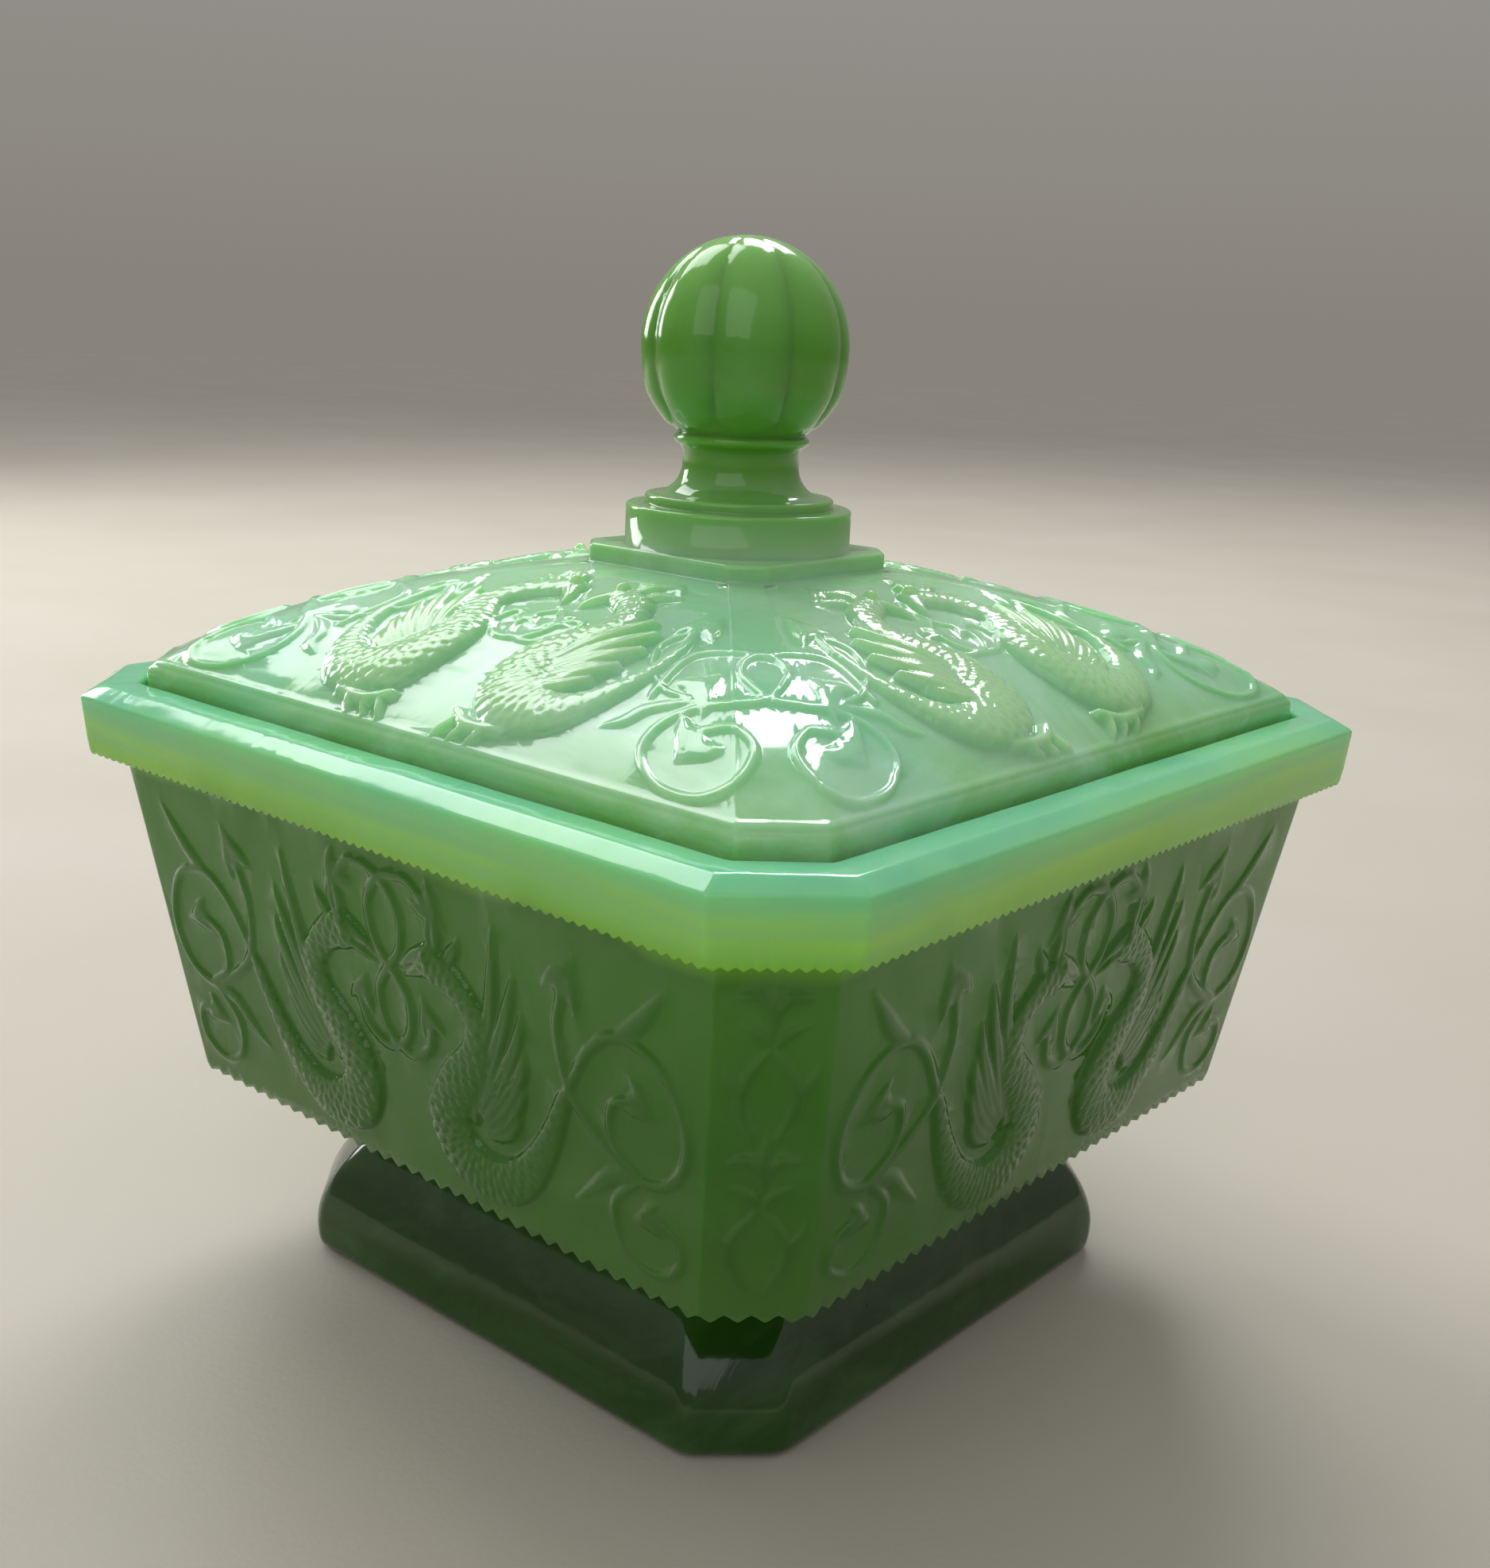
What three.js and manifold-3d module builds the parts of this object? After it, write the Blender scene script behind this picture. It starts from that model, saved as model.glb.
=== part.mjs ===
// Covered candy dish in jade-green pressed glass: a square footed bowl and a domed lid with a ball finial.
// Millimetres, +Z up. The origin is the middle of the face that the foot rests on.
//
// Every level of the dish is a square with clipped, slightly rounded corners. Such a section is given as
// { half, clip, z }: half the width across the flats, the length that each corner is cut back along the
// flats, and the height. A body is a closed skin over a list of sections, from the middle of its underside,
// outwards, up the outside, over the edge and back to the middle.
import * as THREE from 'three';
import { mergeVertices } from 'three/addons/utils/BufferGeometryUtils.js';
import Module from 'manifold-3d';

const wasm = await Module();
wasm.setup();

// Driving dimensions
const rim = { half: 72, clip: 12, top: 89.4, bottom: 79.8, roundover: 2.4, draft: 0.6 };
const wall = { topHalf: 66.8, topClip: 9.4, bottomHalf: 59.6, bottomClip: 9.1, bottom: 31.2, thickness: 5.8 };
const seat = { half: 64.4, clip: 9.3, floor: 84, edgeRound: 0.7 };
const inside = { floor: 36, filletRadius: 5.5, clip: 5.9 };
const foot = { half: 48.4, clipShare: 0.194, widestZ: 4, bulge: 0.0327, bulgeTop: 18, bevel: 1.2, restHalf: 46.9 };
const neck = { coveHalf: 41.7, coveZ: 23.3, coveRadius: 5.2 };
const recess = { mouthHalf: 42.4, topHalf: 30.5, filletRadius: 3.5, ceiling: 28.5 };
const lid = { half: 63.45, clip: 8.7, crease: 91.4, creaseRound: 0.8, lift: 0.3, flange: 4.2, thickness: 4.6 };
const dome = { shoulderHalf: 48.5, shoulderZ: 103.5, topHalf: 17.3, topClip: 4, topZ: 108.8 };
const plinth = { top: 111.4, roundover: 0.6 };
const disc = { radius: 16.5, top: 117.3, edge: 0.4, stepRadius: 13.8, stepTop: 118.8, stepEdge: 0.5 };
const flare = { outerRadius: 12.8, reach: 4.3 };
const collar = { radius: 9.9, z: 126.8, height: 1.8, neckRadius: 8.5 };
const ball = { radius: 14.95, centre: 139.8, up: 15.5, down: 16.2, start: 127.9, gores: 8, grooveDepth: 0.7 };
const wallTeeth = { depth: 1, proud: 0.15, thickness: 2.2, root: 1.4, perFlat: 34, perCorner: 4 };

const CORNERS = 8;
const CORNER_RADIUS = 1.5;
const CORNER_STEPS = 2;
const ARC_STEPS = 4;
const DOME_STEPS = 10;
const BALL_STEPS = 16;
const ROUND_STEPS = 48;
const UNION_OVERLAP = 0.9;

const mix = (a, b, t) => a + (b - a) * t;
const onFoot = (half, z) => ({ half, clip: half * foot.clipShare, z });
// A section moved inwards by an even distance: its corner facets shorten by 2 - sqrt(2) of that distance.
const inset = (from, distance, z) => ({
  half: from.half - distance,
  clip: from.clip - distance * (2 - Math.SQRT2),
  z,
});

// The points round one section, anticlockwise from above, with each of its eight corners rounded.
function sectionLoop({ half, clip, z }) {
  const loop = [];
  const cornerTurn = Math.PI / 4;
  for (let corner = 0; corner < CORNERS; corner++) {
    const quarter = Math.floor(corner / 2) * Math.PI / 2;
    const sharp = corner % 2 === 0
      ? new THREE.Vector2(half - clip, -half)
      : new THREE.Vector2(half, clip - half);
    sharp.rotateAround(new THREE.Vector2(), quarter);
    const outward = (corner - 1.5) * cornerTurn;
    const toCentre = CORNER_RADIUS / Math.cos(cornerTurn / 2);
    for (let step = 0; step <= CORNER_STEPS; step++) {
      const angle = outward + (step / CORNER_STEPS - 0.5) * cornerTurn;
      loop.push(new THREE.Vector3(
        sharp.x - toCentre * Math.cos(outward) + CORNER_RADIUS * Math.cos(angle),
        sharp.y - toCentre * Math.sin(outward) + CORNER_RADIUS * Math.sin(angle),
        z,
      ));
    }
  }
  return loop;
}

// A closed skin: a point on the axis, the loops in turn, and a last point on the axis.
function skin(startZ, loops, endZ) {
  const around = loops[0].length;
  const points = [new THREE.Vector3(0, 0, startZ), ...loops.flat(), new THREE.Vector3(0, 0, endZ)];
  const last = points.length - 1;
  const index = [];
  for (let i = 0; i < around; i++) {
    const next = (i + 1) % around;
    index.push(0, 1 + next, 1 + i);
    for (let level = 0; level < loops.length - 1; level++) {
      const low = 1 + level * around;
      const high = low + around;
      index.push(low + i, low + next, high + next);
      index.push(low + i, high + next, high + i);
    }
    const top = last - around;
    index.push(top + i, top + next, last);
  }
  const geometry = new THREE.BufferGeometry().setFromPoints(points);
  geometry.setIndex(index);
  return geometry;
}

function toManifold(geometry) {
  const bare = geometry.clone();
  bare.deleteAttribute('normal');
  bare.deleteAttribute('uv');
  const merged = mergeVertices(bare, 1e-4);
  return new wasm.Manifold(new wasm.Mesh({
    numProp: 3,
    vertProperties: Float32Array.from(merged.attributes.position.array),
    triVerts: Uint32Array.from(merged.index.array),
  }));
}

function toGeometry(solid) {
  const mesh = solid.getMesh();
  const geometry = new THREE.BufferGeometry();
  geometry.setAttribute('position', new THREE.BufferAttribute(new Float32Array(mesh.vertProperties), 3));
  geometry.setIndex(new THREE.BufferAttribute(new Uint32Array(mesh.triVerts), 1));
  geometry.computeVertexNormals();
  return geometry;
}

// The hollow under the foot: a ceiling, a rounded edge and a wall that opens downwards.
function recessSections() {
  const sections = [];
  const centreHalf = recess.topHalf - recess.filletRadius;
  const centreZ = recess.ceiling - recess.filletRadius;
  for (let step = 0; step <= ARC_STEPS; step++) {
    const angle = (1 - step / ARC_STEPS) * Math.PI / 2;
    sections.push(onFoot(
      centreHalf + recess.filletRadius * Math.cos(angle),
      centreZ + recess.filletRadius * Math.sin(angle),
    ));
  }
  sections.push(onFoot(recess.mouthHalf, 0));
  return sections;
}

// The foot's side: a small bevel at the table, then a swelling that draws in towards the neck.
function footSections() {
  const sections = [onFoot(foot.restHalf, 0)];
  const steps = 2 * ARC_STEPS;
  for (let step = 0; step <= steps; step++) {
    const z = mix(foot.bevel, foot.bulgeTop, step / steps);
    sections.push(onFoot(foot.half - foot.bulge * (z - foot.widestZ) ** 2, z));
  }
  return sections;
}

// The cove between foot and bowl, then the bowl's nearly level underside.
function neckSections() {
  const sections = [];
  const steps = 2 * ARC_STEPS;
  for (let step = 1; step <= steps; step++) {
    const angle = -Math.PI / 2 - Math.PI * step / steps;
    sections.push(onFoot(
      neck.coveHalf + neck.coveRadius * Math.cos(angle),
      neck.coveZ + neck.coveRadius * Math.sin(angle),
    ));
  }
  sections.push({ half: wall.bottomHalf - 1, clip: wall.bottomClip, z: wall.bottom - 0.8 });
  sections.push({ half: wall.bottomHalf, clip: wall.bottomClip, z: wall.bottom });
  return sections;
}

// The wall's top, the rim's underside, its nearly upright side, and the rounded outer top edge.
function rimSections() {
  const sections = [{ half: wall.topHalf, clip: wall.topClip, z: rim.bottom - 0.3 }];
  sections.push(inset(rim, rim.draft + 0.5, rim.bottom));
  sections.push(inset(rim, rim.draft, rim.bottom + 0.5));
  for (let step = 0; step <= ARC_STEPS; step++) {
    const angle = step / ARC_STEPS * Math.PI / 2;
    const inwards = rim.roundover * (1 - Math.cos(angle));
    sections.push(inset(rim, inwards, rim.top - rim.roundover * (1 - Math.sin(angle))));
  }
  return sections;
}

// The stepped seat inside the rim that the lid stands on.
function seatSections() {
  return [
    inset(seat, -seat.edgeRound, rim.top),
    inset(seat, 0, rim.top - seat.edgeRound),
    inset(seat, 0, seat.floor),
    inset(seat, seat.half - wall.topHalf + wall.thickness, seat.floor),
  ];
}

// The bowl's inner wall, parallel to the outer one, and the fillet to the floor.
function insideSections() {
  const centreZ = inside.floor + inside.filletRadius;
  const upTheWall = (centreZ - wall.bottom) / (rim.bottom - wall.bottom);
  const wallHalf = mix(wall.bottomHalf, wall.topHalf, upTheWall) - wall.thickness;
  const centreHalf = wallHalf - inside.filletRadius;
  const sections = [];
  for (let step = 0; step <= ARC_STEPS; step++) {
    const angle = -step / ARC_STEPS * Math.PI / 2;
    sections.push({
      half: centreHalf + inside.filletRadius * Math.cos(angle),
      clip: inside.clip,
      z: centreZ + inside.filletRadius * Math.sin(angle),
    });
  }
  return sections;
}

// A row of teeth along one straight edge, drawn in the XZ plane about x = 0 and pointing down, with its
// back at y = 0 and its face towards -Y.
function toothStrip(length, count) {
  const outline = new THREE.Shape();
  const pitch = length / count;
  outline.moveTo(length / 2, wallTeeth.root);
  outline.lineTo(-length / 2, wallTeeth.root);
  outline.lineTo(-length / 2, 0);
  for (let tooth = 0; tooth < count; tooth++) {
    const left = -length / 2 + tooth * pitch;
    outline.lineTo(left + pitch / 2, -wallTeeth.depth);
    outline.lineTo(left + pitch, 0);
  }
  outline.closePath();
  const strip = new THREE.ExtrudeGeometry(outline, { depth: wallTeeth.thickness, bevelEnabled: false });
  strip.rotateX(Math.PI / 2);
  return strip;
}

// Teeth round the eight sides of the wall's lower edge, leaning outwards with the wall above them.
function wallToothRing() {
  const half = wall.bottomHalf;
  const clip = wall.bottomClip;
  const lean = Math.atan2(wall.topHalf - half, rim.bottom - wall.bottom);
  const strips = [];
  const flatLength = 2 * (half - clip);
  const cornerLength = clip * Math.SQRT2;
  const cornerDistance = (2 * half - clip) / Math.SQRT2;
  for (let side = 0; side < CORNERS; side++) {
    const onCorner = side % 2 === 1;
    const strip = onCorner
      ? toothStrip(cornerLength, wallTeeth.perCorner)
      : toothStrip(flatLength, wallTeeth.perFlat);
    const distance = onCorner ? cornerDistance : half;
    strip.rotateX(-lean);
    strip.translate(0, wallTeeth.thickness - distance - wallTeeth.proud, wall.bottom);
    strip.rotateZ(side * Math.PI / 4);
    strips.push(toManifold(strip));
  }
  return strips;
}

function bowlGeometry() {
  const sections = [
    ...recessSections(),
    ...footSections(),
    ...neckSections(),
    ...rimSections(),
    ...seatSections(),
    ...insideSections(),
  ];
  const body = toManifold(skin(recess.ceiling, sections.map(sectionLoop), inside.floor));
  return toGeometry(wasm.Manifold.union([body, ...wallToothRing()]));
}

// The dome's sections from its edge to the plinth, lowered and drawn in by the same distance for the inside.
function domeSections(drop) {
  const curve = new THREE.QuadraticBezierCurve(
    new THREE.Vector2(lid.half, lid.crease),
    new THREE.Vector2(dome.shoulderHalf, dome.shoulderZ),
    new THREE.Vector2(dome.topHalf, dome.topZ),
  );
  return curve.getPoints(DOME_STEPS).map((point) => {
    const upTheDome = (lid.half - point.x) / (lid.half - dome.topHalf);
    const outside = { half: point.x, clip: mix(lid.clip, dome.topClip, upTheDome) };
    return inset(outside, drop * (1 - upTheDome), point.y - drop);
  });
}

function lidShellGeometry() {
  const under = domeSections(lid.thickness).reverse();
  const flangeBottom = seat.floor + lid.lift;
  const flange = inset(lid, lid.flange, flangeBottom);
  const plinthFoot = { half: dome.topHalf, clip: dome.topClip };
  const sections = [
    ...under,
    flange,
    inset(lid, 0.7, flangeBottom),
    inset(lid, 0.3, flangeBottom + 0.4),
    inset(lid, 0, lid.crease - lid.creaseRound),
    ...domeSections(0),
    inset(plinthFoot, 0, plinth.top - plinth.roundover),
    inset(plinthFoot, plinth.roundover, plinth.top),
  ];
  return skin(dome.topZ - lid.thickness, sections.map(sectionLoop), plinth.top);
}

// The finial's turned outline below the ball: disc, step, hollow flare, neck and collar.
function finialStemOutline() {
  const outline = [
    [disc.radius, plinth.top - UNION_OVERLAP],
    [disc.radius, disc.top - disc.edge],
    [disc.radius - disc.edge, disc.top],
    [disc.stepRadius, disc.top],
    [disc.stepRadius, disc.stepTop - disc.stepEdge],
    [disc.stepRadius - disc.stepEdge, disc.stepTop],
  ];
  const flareTop = disc.stepTop + flare.reach;
  for (let step = 0; step <= ARC_STEPS; step++) {
    const angle = (1 - step / ARC_STEPS) * Math.PI / 2;
    outline.push([
      flare.outerRadius - flare.reach * Math.cos(angle),
      flareTop - flare.reach * Math.sin(angle),
    ]);
  }
  for (let step = 0; step <= ARC_STEPS; step++) {
    const swell = Math.sin(step / ARC_STEPS * Math.PI);
    const z = collar.z + (step / ARC_STEPS - 0.5) * collar.height;
    outline.push([mix(collar.neckRadius + 0.7, collar.radius, swell), z]);
  }
  return outline;
}

function roundLoop(radius, z, groove) {
  const loop = [];
  const goreSteps = ROUND_STEPS / ball.gores;
  for (let i = 0; i < ROUND_STEPS; i++) {
    const angle = (i / ROUND_STEPS) * 2 * Math.PI;
    const fromGoreMiddle = Math.abs((i % goreSteps) / goreSteps - 0.5) * 2;
    const r = radius - groove * fromGoreMiddle ** 2;
    loop.push(new THREE.Vector3(r * Math.cos(angle), r * Math.sin(angle), z));
  }
  return loop;
}

// The ball: two half ellipsoids on one centre, cut by grooves between its gores.
function ballLoops() {
  const loops = [];
  const firstAngle = Math.asin((ball.start - ball.centre) / ball.down);
  for (let step = 0; step < BALL_STEPS; step++) {
    const angle = mix(firstAngle, Math.PI / 2, step / BALL_STEPS);
    const height = angle < 0 ? ball.down : ball.up;
    const aboveStart = step / BALL_STEPS;
    const groove = ball.grooveDepth * Math.min(1, 4 * aboveStart) * Math.cos(angle);
    loops.push(roundLoop(ball.radius * Math.cos(angle), ball.centre + height * Math.sin(angle), groove));
  }
  return loops;
}

function finialGeometry() {
  const stem = finialStemOutline().map(([radius, z]) => roundLoop(radius, z, 0));
  return skin(plinth.top - UNION_OVERLAP, [...stem, ...ballLoops()], ball.centre + ball.up);
}

function lidGeometry() {
  const shell = toManifold(lidShellGeometry());
  const finial = toManifold(finialGeometry());
  return toGeometry(shell.add(finial));
}

function jadeGlass(colour) {
  return new THREE.MeshStandardMaterial({ color: colour, roughness: 0.15, metalness: 0 });
}

function namedMesh(name, geometry, material) {
  const mesh = new THREE.Mesh(geometry, material);
  mesh.name = name;
  return mesh;
}

const dish = new THREE.Group();
dish.name = 'covered_candy_dish';
dish.add(namedMesh('bowl', bowlGeometry(), jadeGlass(0x5fa04f)));
dish.add(namedMesh('lid', lidGeometry(), jadeGlass(0x86c796)));

export default dish;
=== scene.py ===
"""Looks of the covered candy dish: two pressed-glass pieces with their relief, studio light and a camera.

Lengths are millimetres until place() turns them into the frame's metres. Each piece is one closed skin: a
grid whose rows are sections of the dish, listed from the middle of the underside, over the outside, to the
middle of the top or of the inner floor. Every row has the same columns, running anticlockwise round the
eight sides. A section is (half, clip, z): half the width across the flats, how much each corner is cut back,
and the height. A corner point of an outline has one more value, the reach of its rounding.
"""

import math
from types import SimpleNamespace as Sizes

import bpy
import numpy as np
from mathutils import Matrix, Vector
from mathutils.kdtree import KDTree


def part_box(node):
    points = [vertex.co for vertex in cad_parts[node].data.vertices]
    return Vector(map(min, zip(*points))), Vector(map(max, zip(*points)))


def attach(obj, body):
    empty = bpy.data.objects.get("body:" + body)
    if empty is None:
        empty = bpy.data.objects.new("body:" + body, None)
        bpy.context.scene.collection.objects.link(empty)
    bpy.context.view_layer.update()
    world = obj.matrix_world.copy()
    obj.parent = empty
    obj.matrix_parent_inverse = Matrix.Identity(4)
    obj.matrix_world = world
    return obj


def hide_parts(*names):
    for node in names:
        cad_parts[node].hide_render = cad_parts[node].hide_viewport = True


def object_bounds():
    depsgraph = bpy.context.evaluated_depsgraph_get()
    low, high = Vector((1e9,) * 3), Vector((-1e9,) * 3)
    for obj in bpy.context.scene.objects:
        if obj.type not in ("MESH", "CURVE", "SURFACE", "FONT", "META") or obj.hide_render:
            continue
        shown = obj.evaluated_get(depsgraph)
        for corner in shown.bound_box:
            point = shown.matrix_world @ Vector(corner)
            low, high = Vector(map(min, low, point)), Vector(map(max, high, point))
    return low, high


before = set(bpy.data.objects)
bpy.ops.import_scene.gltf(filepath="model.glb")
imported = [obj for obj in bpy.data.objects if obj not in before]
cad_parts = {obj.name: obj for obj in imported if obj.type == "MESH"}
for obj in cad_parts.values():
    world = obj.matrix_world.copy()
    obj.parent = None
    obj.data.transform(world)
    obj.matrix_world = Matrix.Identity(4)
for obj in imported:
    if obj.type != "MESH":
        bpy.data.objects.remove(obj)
cad_low, cad_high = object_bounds()

# ---------------- driving dimensions
METRES_PER_MM = 0.001
bowl_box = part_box("bowl")
rim_half = round(bowl_box[1].x / METRES_PER_MM, 3)
rim_top = round(bowl_box[1].z / METRES_PER_MM, 3)
finial_top = round(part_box("lid")[1].z / METRES_PER_MM, 3)

rim = Sizes(
    half=rim_half, clip=12, top=rim_top, bottom=rim_top - 9.6, bevel_in=2.8, bevel_down=1.6, draft=0.6,
    underside=2.6, side_depth=2,
)
wall = Sizes(
    top_half=rim_half - 5.2, top_clip=9.4, bottom_half=rim_half - 12.4, bottom_clip=9.1, bottom=31.2,
    thickness=5.8,
)
seat = Sizes(half=rim_half - 7.6, clip=7.6, floor=rim_top - 5.4, edge=0.9)
inside = Sizes(floor=36, fillet=5.5, clip=5.9)
foot = Sizes(
    half=48.4, clip_share=0.194, widest=4, bulge=0.0327, bulge_top=18, bevel=1.2,
    rest_half=46.9, rest_reach=0.5, rounding=4.5,
)
neck = Sizes(cove_half=41.7, cove_z=23.3, cove_radius=5.2, top_in=2.2)
recess = Sizes(mouth_half=42.4, top_half=30.5, fillet=3.5, ceiling=28.5)
lid = Sizes(
    half=rim_half - 8.55, clip=7, crease=rim_top + 2, crease_reach=0.9, gap=0.3, flange=4.2, thickness=4.6,
    lip=0.22, lip_at=1.5, lip_width=0.55,
)
dome = Sizes(
    shoulder_half=48.5, shoulder_z=rim_top + 14.1, top_half=17.3, top_clip=4, top=rim_top + 19.4,
    corner_reach=0.5, blend_radius=9, blend_length=16,
)
plinth = Sizes(top=rim_top + 22, reach=0.8)
disc = Sizes(radius=16.5, top=rim_top + 27.9, step_radius=13.8, step_top=rim_top + 29.4, reach=0.6)
flare = Sizes(outer=12.8, reach=4.3)
collar = Sizes(radius=9.9, z=rim_top + 37.4, height=1.8, neck=8.5)
ball = Sizes(
    radius=14.95, up=15.5, down=16.2, centre=finial_top - 15.5, start=rim_top + 38.5, gores=8, groove=0.8,
    groove_power=2.4, petal_z=rim_top + 41.4, petal_drop=2.6, petal_step=0.7, stalk_in=0.65, pad=0.35,
    pad_z=rim_top + 43.6, pad_spread=2.6,
)
corner_radius = 1.5
teeth = Sizes(
    wall_depth=0.9, wall_per_flat=34, wall_per_corner=4, wall_fade=1.3,
    rim_depth=0.5, rim_per_flat=68, rim_per_corner=10, rim_fade=0.4,
)
seam = Sizes(height=0.1, half_width=0.35, columns=8)
wave_height = 0.035

# ---------------- fineness
columns_per_flat = 340
columns_per_corner = 40
relief_row_step = 0.35
arc_steps = 6
triangle_limit = 190_000
map_cell = 0.2
path_step = 0.12
finest_radius = 0.12

SIDES = 8
SIDE_TURN = math.pi / 4
INSET_CLIP = 2 - math.sqrt(2)


def mix(a, b, t):
    return a + (b - a) * t


# ---------------- sections and rows
def side_columns():
    """For each column: which of the eight sides it is on, and how far across it, from -1 up to but not 1."""
    side, across = [], []
    for k in range(SIDES):
        count = columns_per_flat if k % 2 == 0 else columns_per_corner
        side += [k] * count
        across += list(2 * np.arange(count) / count - 1)
    return np.array(side), np.array(across)


column_side, column_across = side_columns()
on_corner = column_side % 2 == 1


def side_lengths(sections):
    """Length of the side that each column is on, for each row."""
    half, clip = sections[:, 0:1], sections[:, 1:2]
    return np.where(on_corner, clip * math.sqrt(2), 2 * (half - clip))


def octagon_rows(sections, rounding=corner_radius):
    """Points of each section's octagon with rounded corners, and how far each is from its side's middle."""
    half, clip, z = (sections[:, i : i + 1] for i in range(3))
    length = side_lengths(sections)
    distance = np.where(on_corner, (2 * half - clip) / math.sqrt(2), half)
    half_turn = SIDE_TURN / 2
    tangent = np.minimum(rounding * math.tan(half_turn), 0.45 * length)
    radius = tangent / math.tan(half_turn)
    from_end = (1 - np.abs(column_across)) * length / 2
    angle = half_turn * np.clip(1 - from_end / tangent, 0, 1)
    on_arc = length / 2 - tangent + radius * np.sin(angle)
    flat = np.abs(column_across) * length / 2
    along = np.sign(column_across) * np.where(angle > 0, on_arc, flat)
    distance = distance - radius * (1 - np.cos(angle))
    turn = column_side * SIDE_TURN
    x = along * np.cos(turn) + distance * np.sin(turn)
    y = along * np.sin(turn) - distance * np.cos(turn)
    return np.stack([x, y, z + 0 * x], axis=-1), along


def round_rows(outline, angles):
    """Points of a turned outline, given as rows of (radius, z), at the given angles."""
    radius, z = outline[:, 0:1], outline[:, 1:2]
    return np.stack([radius * np.cos(angles), radius * np.sin(angles), z + 0 * angles], axis=-1)


def soften(corners):
    """Rows through corner points whose last value is how far from the corner its rounding starts."""
    corners = np.array(corners, float)
    points, reaches = corners[:, :-1], corners[:, -1]
    rows = []
    for i, (point, reach) in enumerate(zip(points, reaches)):
        if reach == 0 or i in (0, len(points) - 1):
            rows.append(point)
            continue
        before = points[i - 1] - point
        after = points[i + 1] - point
        start = point + before / np.linalg.norm(before) * reach
        end = point + after / np.linalg.norm(after) * reach
        for t in np.linspace(0, 1, arc_steps):
            rows.append((1 - t) ** 2 * start + 2 * t * (1 - t) * point + t**2 * end)
    return np.array(rows)


def on_foot(half, z, reach=0):
    return (half, half * foot.clip_share, z, reach)


def inset(section, distance, z, reach=0):
    """A section moved in evenly: its corner facets shorten by 2 - sqrt(2) of the distance."""
    return (section.half - distance, section.clip - distance * INSET_CLIP, z, reach)


def arc(centre_half, centre_z, radius, start, end, count):
    """(half, z) points of an arc between two angles, measured up from straight outwards."""
    angles = np.linspace(start, end, count)
    return [(centre_half + radius * math.cos(a), centre_z + radius * math.sin(a)) for a in angles]


def recess_corners():
    """The hollow under the foot, from its ceiling's fillet down to the table."""
    radius = recess.fillet
    fillet = arc(recess.top_half - radius, recess.ceiling - radius, radius, math.pi / 2, 0, arc_steps)
    return [*(on_foot(half, z) for half, z in fillet), on_foot(recess.mouth_half, 0, foot.rest_reach)]


def foot_corners():
    """A small bevel at the table, then a swelling side that draws in, and a soft edge into the neck."""
    corners = [on_foot(foot.rest_half, 0, foot.rest_reach)]
    for z in np.linspace(foot.bevel, foot.bulge_top, 4 * arc_steps):
        corners.append(on_foot(foot.half - foot.bulge * (z - foot.widest) ** 2, z))
    return corners


def neck_corners():
    """The cove between foot and wall, as half a circle, and the wall's underside."""
    corners = []
    steps = 3 * arc_steps
    for step in range(1, steps + 1):
        angle = -math.pi / 2 - math.pi * step / steps
        half = neck.cove_half + neck.cove_radius * math.cos(angle)
        corners.append(on_foot(half, neck.cove_z + neck.cove_radius * math.sin(angle)))
    corners.append((wall.bottom_half - neck.top_in, wall.bottom_clip, wall.bottom - 1, 0.4))
    return corners


def wall_sections():
    """Evenly spaced sections up the outer wall, for its relief."""
    count = round((rim.bottom - wall.bottom) / relief_row_step)
    t = np.linspace(0, 1, count)
    half = mix(wall.bottom_half, wall.top_half, t)
    clip = mix(wall.bottom_clip, wall.top_clip, t)
    return np.stack([half, clip, mix(wall.bottom, rim.bottom - 0.3, t)], axis=-1)


def rim_corners():
    """From the wall's top out under the rim, up its side, over its bevel, and down into the lid's seat."""
    return [
        (wall.top_half + 0.4, wall.top_clip + 0.2, rim.bottom, 0),
        inset(rim, rim.underside, rim.bottom, 0),
        inset(rim, rim.draft + 0.3, rim.bottom, 0.3),
        inset(rim, rim.draft, rim.bottom + 2, 0),
        inset(rim, 0, rim.top - rim.bevel_down, 0.6),
        inset(rim, rim.bevel_in, rim.top, 0.5),
        inset(seat, 0, rim.top, seat.edge),
        inset(seat, 0, seat.floor, 0.4),
        inset(seat, seat.half - wall.top_half + wall.thickness, seat.floor, 0.8),
    ]


def inside_corners():
    """The inner wall, parallel to the outer one, then the fillet to the floor."""
    centre_z = inside.floor + inside.fillet
    up_the_wall = (centre_z - wall.bottom) / (rim.bottom - wall.bottom)
    wall_half = mix(wall.bottom_half, wall.top_half, up_the_wall) - wall.thickness
    fillet = arc(wall_half - inside.fillet, centre_z, inside.fillet, 0, -math.pi / 2, 2 * arc_steps)
    return [(half, inside.clip, z, 0) for half, z in fillet]


def dome_curve(count):
    """(half, z) up the middle of a lid face, from the crease to the plinth."""
    t = np.linspace(0, 1, count)[:, None]
    crease = np.array([lid.half, lid.crease])
    shoulder = np.array([dome.shoulder_half, dome.shoulder_z])
    top = np.array([dome.top_half, dome.top])
    return (1 - t) ** 2 * crease + 2 * t * (1 - t) * shoulder + t**2 * top


def dome_length():
    return np.linalg.norm(np.diff(dome_curve(200), axis=0), axis=1).sum()


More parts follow.
